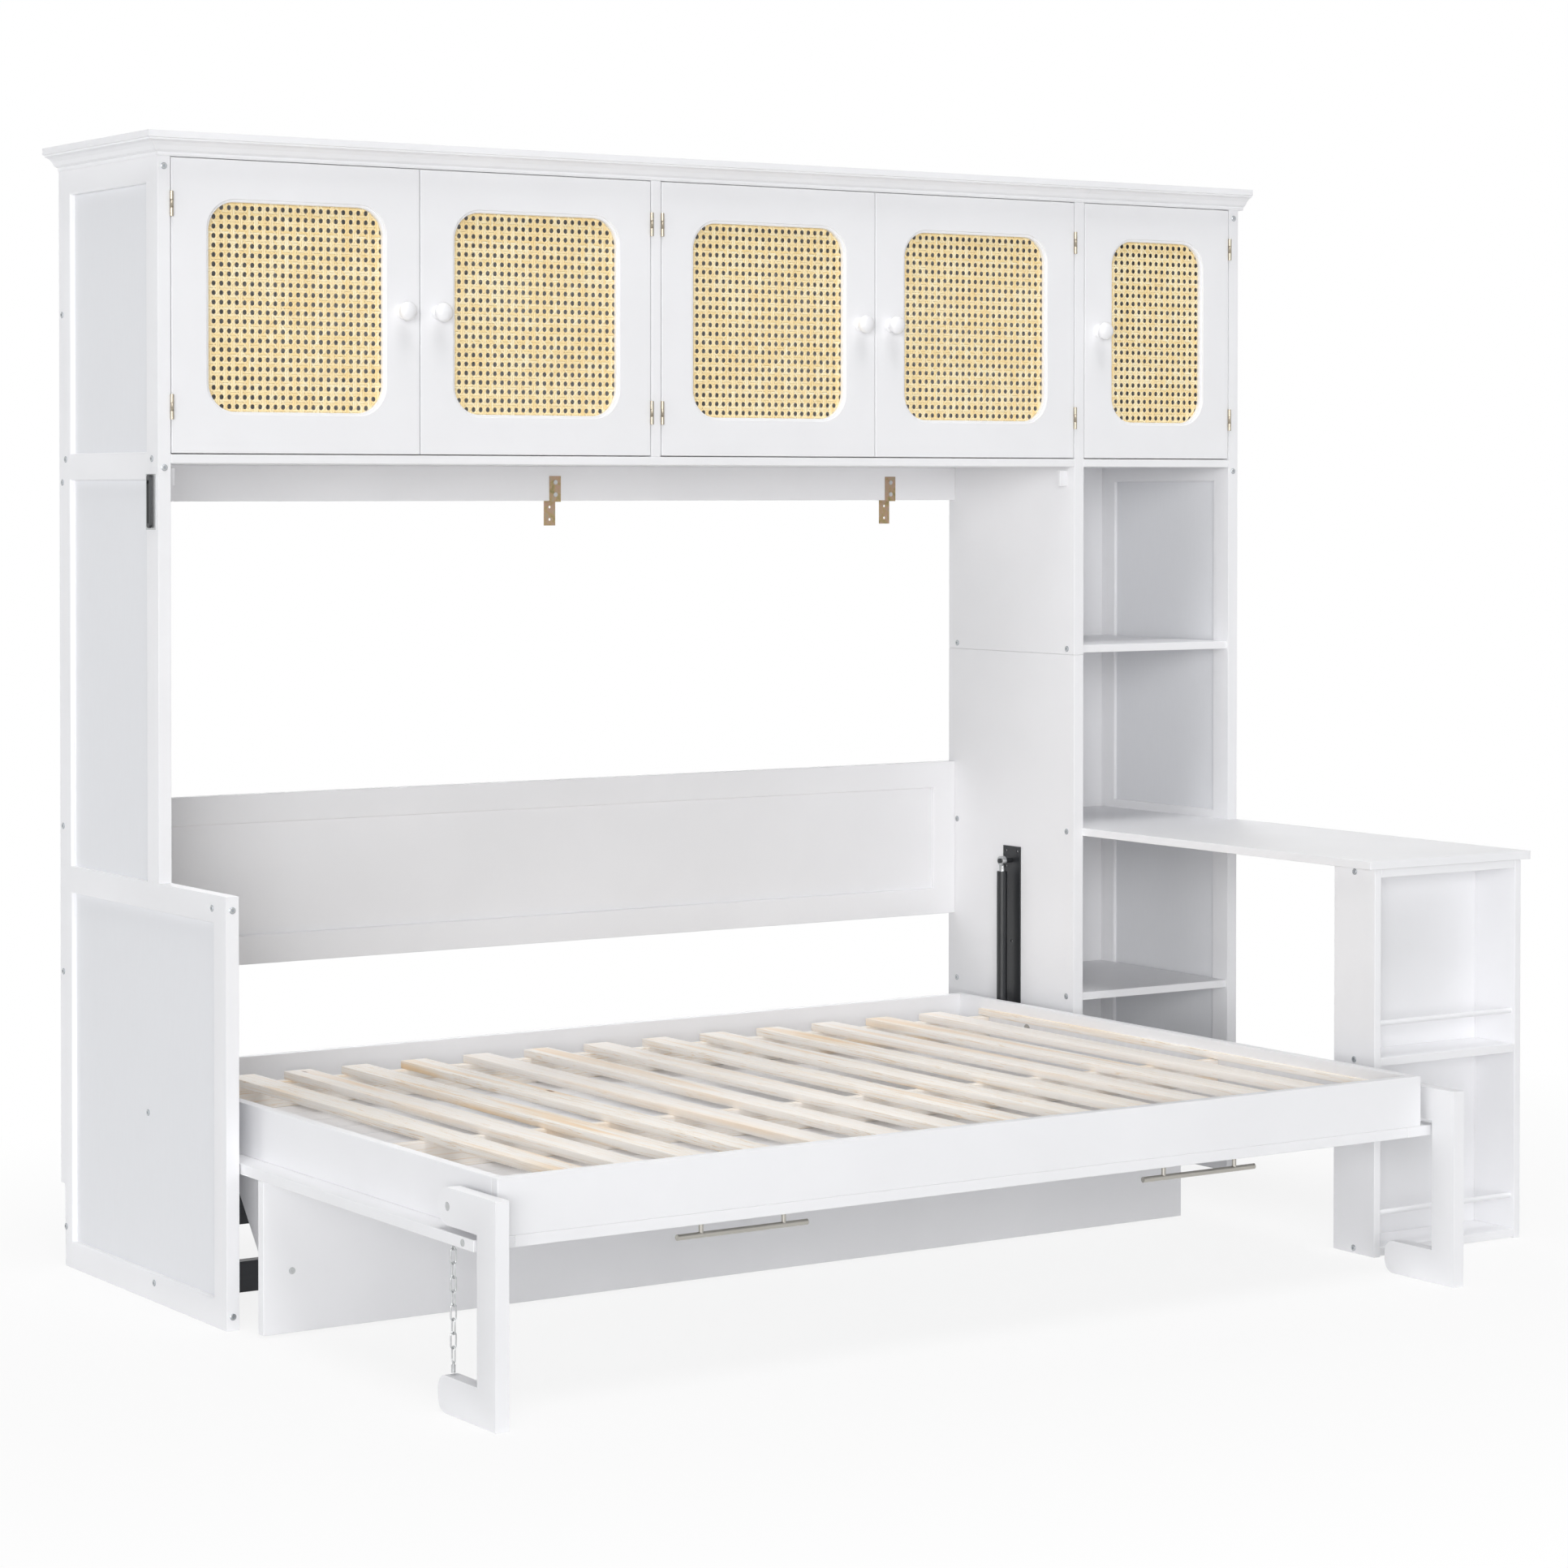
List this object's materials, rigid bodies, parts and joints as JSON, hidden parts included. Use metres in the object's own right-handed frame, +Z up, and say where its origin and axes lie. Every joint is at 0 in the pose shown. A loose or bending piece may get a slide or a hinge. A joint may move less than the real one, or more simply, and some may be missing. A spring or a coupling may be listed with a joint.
{
  "type": "wall bed with fold down desk",
  "caption": "White wall bed that folds sideways under an overhead cabinet with cane doors, with a shelf tower, a fixed side desk and a shelf desk that comes level when the bed is closed.",
  "frame": {"origin": "centre of the footprint on the floor, with the bed down", "axes": "+X along the wall to the right, towards the shelf tower and desk; +Y from the room to the wall; +Z up"},
  "size_m": [2.569, 1.57, 2.091],
  "materials": {
    "white_paint": "satin white painted board",
    "pine": "clear varnished pine",
    "cane": "woven natural cane webbing",
    "nickel": "brushed nickel",
    "plated_steel": "zinc plated steel",
    "yellow_zinc": "yellow passivated zinc plated steel",
    "black_paint": "satin black powder coat",
    "black_plastic": "matte black",
    "grey_paint": "dark grey laminated board"
  },
  "bodies": {
    "frame": {"left_low_frame": "white_paint", "left_upper_frame": "white_paint", "side_infill_panels": "white_paint", "divider_boards": "white_paint", "right_side_frame": "white_paint", "tower_back": "white_paint", "tower_boards": "white_paint", "cabinet_boards": "white_paint", "cabinet_partition": "white_paint", "cabinet_back": "white_paint", "crown_mouldings": "white_paint", "upper_wall_rail": "white_paint", "back_board_frame": "white_paint", "back_board_panel": "white_paint", "base_rails": "grey_paint", "stop_blocks": "white_paint", "wall_brackets": "yellow_zinc", "bracket_screws": "plated_steel", "desk_top": "white_paint", "desk_case_sides": "white_paint", "desk_case_shelves": "white_paint", "desk_case_back": "white_paint", "desk_case_rods": "white_paint", "strut_plates": "black_paint", "pivot_plates": "plated_steel", "chain_track": "black_plastic", "bolt_caps": "black_plastic", "door_hinge_leaves": "nickel"},
    "door_1": {"door_1_frame": "white_paint", "door_1_cane": "cane", "door_1_fittings": "nickel"},
    "door_2": {"door_2_frame": "white_paint", "door_2_cane": "cane", "door_2_fittings": "nickel"},
    "door_3": {"door_3_frame": "white_paint", "door_3_cane": "cane", "door_3_fittings": "nickel"},
    "door_4": {"door_4_frame": "white_paint", "door_4_cane": "cane", "door_4_fittings": "nickel"},
    "door_5": {"door_5_frame": "white_paint", "door_5_cane": "cane", "door_5_fittings": "nickel"},
    "bed_pivot": {"pivot_pins": "plated_steel"},
    "bed": {"bed_long_rails": "white_paint", "bed_end_rails": "white_paint", "bed_face_strips": "white_paint", "bed_underside_panel": "white_paint", "bed_slats": "pine", "bed_bearers": "pine", "shelf_desk_panel": "white_paint", "shelf_desk_gussets": "white_paint", "pull_handles": "nickel", "bed_brackets": "plated_steel", "bed_bolts": "black_plastic"},
    "leg_left": {"left_leg": "white_paint"},
    "leg_right": {"right_leg": "white_paint"},
    "struts": {"strut_cylinders": "black_paint"},
    "strut_rods_body": {"strut_rods": "plated_steel"},
    "chain": {"safety_chain": "plated_steel"}
  },
  "joints": [
    {"name": "door_1_hinge", "type": "hinge", "parent": "frame", "child": "door_1", "pos_m": [-1.2255, 0.3514, 1.7835], "axis": [0, 0, -1], "range_deg": [0, 100]},
    {"name": "door_2_hinge", "type": "hinge", "parent": "frame", "child": "door_2", "pos_m": [-0.211, 0.3514, 1.7835], "axis": [0, 0, 1], "range_deg": [0, 85]},
    {"name": "door_3_hinge", "type": "hinge", "parent": "frame", "child": "door_3", "pos_m": [-0.187, 0.3514, 1.7835], "axis": [0, 0, -1], "range_deg": [0, 85]},
    {"name": "door_4_hinge", "type": "hinge", "parent": "frame", "child": "door_4", "pos_m": [0.8275, 0.3514, 1.7835], "axis": [0, 0, 1], "range_deg": [0, 100]},
    {"name": "door_5_hinge", "type": "hinge", "parent": "frame", "child": "door_5", "pos_m": [1.2455, 0.3514, 1.7835], "axis": [0, 0, 1], "range_deg": [0, 100]},
    {"name": "bed_fold", "type": "hinge", "parent": "frame", "child": "bed_pivot", "pos_m": [0.01, 0.423, 0.333], "axis": [-1, 0, 0], "range_deg": [0, 75]},
    {"name": "bed_close", "type": "hinge", "parent": "bed_pivot", "child": "bed", "pos_m": [0.01, 0.423, 0.333], "axis": [-1, 0, 0], "range_deg": [0, 15]},
    {"name": "left_leg_fold", "type": "hinge", "parent": "bed", "child": "leg_left", "pos_m": [-1.21, -0.635, 0.328], "axis": [-1, 0, 0], "range_deg": [0, 180]},
    {"name": "right_leg_fold", "type": "hinge", "parent": "bed", "child": "leg_right", "pos_m": [0.809, -0.635, 0.328], "axis": [-1, 0, 0], "range_deg": [0, 180]},
    {"name": "strut_swing", "type": "hinge", "parent": "frame", "child": "struts", "pos_m": [0.01, 0.562, 0.67], "axis": [-1, 0, 0], "range_deg": [0, 15]},
    {"name": "strut_slide", "type": "slide", "parent": "struts", "child": "strut_rods_body", "axis": [0, 0, -1], "range_m": [0, 0.15]},
    {"name": "chain_swing", "type": "hinge", "parent": "bed", "child": "chain", "pos_m": [-1.2125, -0.637, 0.2615], "axis": [1, 0, 0], "range_deg": [0, 90]}
  ],
  "couplings": [
    {"joint": "left_leg_fold", "follows": "bed_close", "ratio": 12},
    {"joint": "right_leg_fold", "follows": "bed_close", "ratio": 12},
    {"joint": "strut_swing", "follows": "bed_fold", "ratio": 0.18253},
    {"joint": "strut_slide", "follows": "bed_fold", "m_per_rad": 0.10581}
  ]
}
